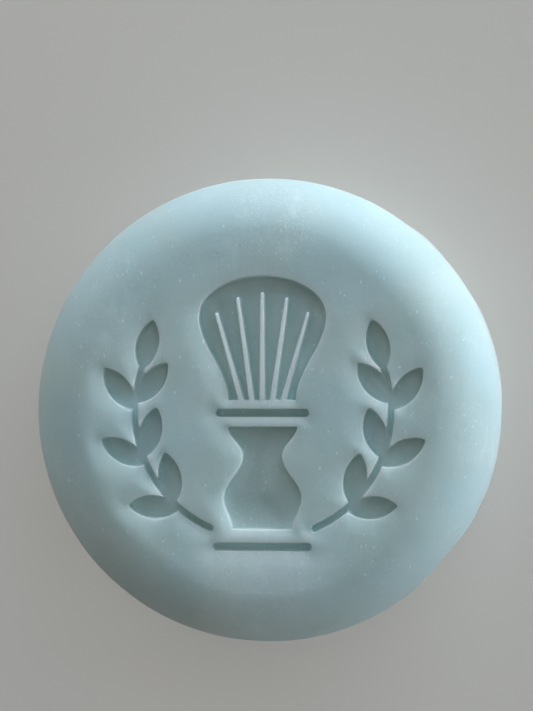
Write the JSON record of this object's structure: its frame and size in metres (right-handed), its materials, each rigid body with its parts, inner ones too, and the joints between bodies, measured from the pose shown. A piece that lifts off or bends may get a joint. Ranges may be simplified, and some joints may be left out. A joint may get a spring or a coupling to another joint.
{
  "type": "shaving soap puck",
  "caption": "Round cast soap puck with a flat back, a straight wall, a broad rounded shoulder and a recessed brush and leaf pattern on its flat face.",
  "frame": {"origin": "middle of the flat back that the puck lies on", "axes": "+Z through the thickness, out of the patterned face; +Y towards the top of the pattern; +X to its right"},
  "size_m": [0.0758, 0.0758, 0.025],
  "materials": {
    "soap": "satin"
  },
  "bodies": {
    "root": {"soap_puck": "soap"}
  },
  "joints": []
}
